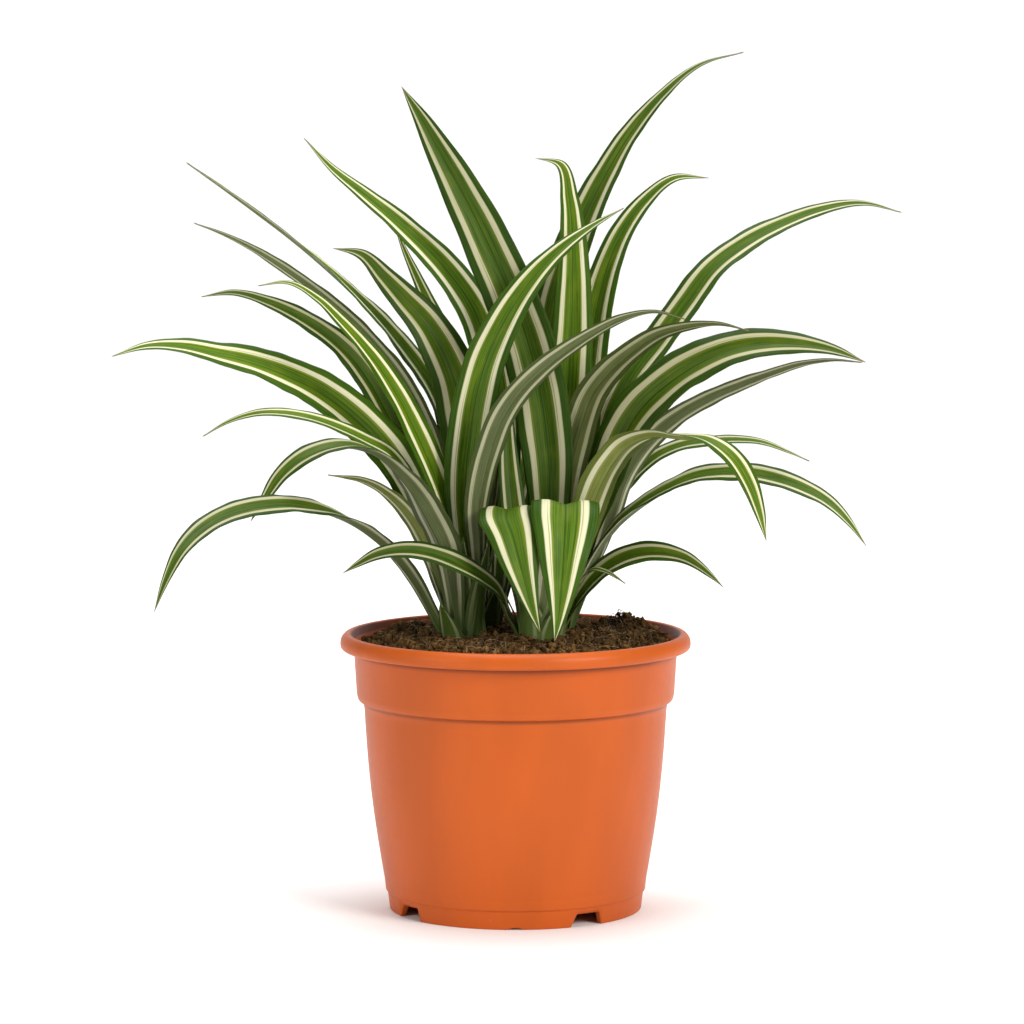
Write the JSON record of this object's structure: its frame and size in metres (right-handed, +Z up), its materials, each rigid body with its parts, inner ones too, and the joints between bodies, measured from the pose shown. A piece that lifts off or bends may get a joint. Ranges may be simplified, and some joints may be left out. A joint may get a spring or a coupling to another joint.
{
  "type": "potted dracaena",
  "caption": "Variegated green and cream strap-leaf house plant in a round orange plastic nursery pot with potting soil.",
  "frame": {"origin": "centre of the pot's foot, on the surface it stands on", "axes": "+Z up along the pot's axis; -Y is the front, where two leaves arch over the soil; +X to the right"},
  "size_m": [0.293, 0.188, 0.317],
  "materials": {
    "pot": "satin moulded terracotta-orange plastic",
    "soil": "dark crumbly peat and bark potting mix",
    "root_stock": "pale green fleshy root stock",
    "leaf": "satin green blade with two lengthwise cream stripes"
  },
  "bodies": {
    "root": {"pot": "pot", "soil": "soil", "left_front_crown": "root_stock", "left_back_crown": "root_stock", "right_front_crown": "root_stock", "right_back_crown": "root_stock", "left_front_leaf_1": "leaf", "left_front_leaf_2": "leaf", "left_front_leaf_3": "leaf", "left_front_leaf_4": "leaf", "left_front_leaf_5": "leaf", "left_front_leaf_6": "leaf", "left_front_leaf_7": "leaf", "left_front_leaf_8": "leaf", "left_front_leaf_9": "leaf", "left_back_leaf_1": "leaf", "left_back_leaf_2": "leaf", "left_back_leaf_3": "leaf", "left_back_leaf_4": "leaf", "left_back_leaf_5": "leaf", "left_back_leaf_6": "leaf", "left_back_leaf_7": "leaf", "left_back_leaf_8": "leaf", "left_back_leaf_9": "leaf", "right_front_leaf_1": "leaf", "right_front_leaf_2": "leaf", "right_front_leaf_3": "leaf", "right_front_leaf_4": "leaf", "right_front_leaf_5": "leaf", "right_front_leaf_6": "leaf", "right_front_leaf_7": "leaf", "right_front_leaf_8": "leaf", "right_front_leaf_9": "leaf", "right_back_leaf_1": "leaf", "right_back_leaf_2": "leaf", "right_back_leaf_3": "leaf", "right_back_leaf_4": "leaf", "right_back_leaf_5": "leaf", "right_back_leaf_6": "leaf", "right_back_leaf_7": "leaf", "right_back_leaf_8": "leaf", "right_back_leaf_9": "leaf", "right_back_leaf_10": "leaf"}
  },
  "joints": []
}
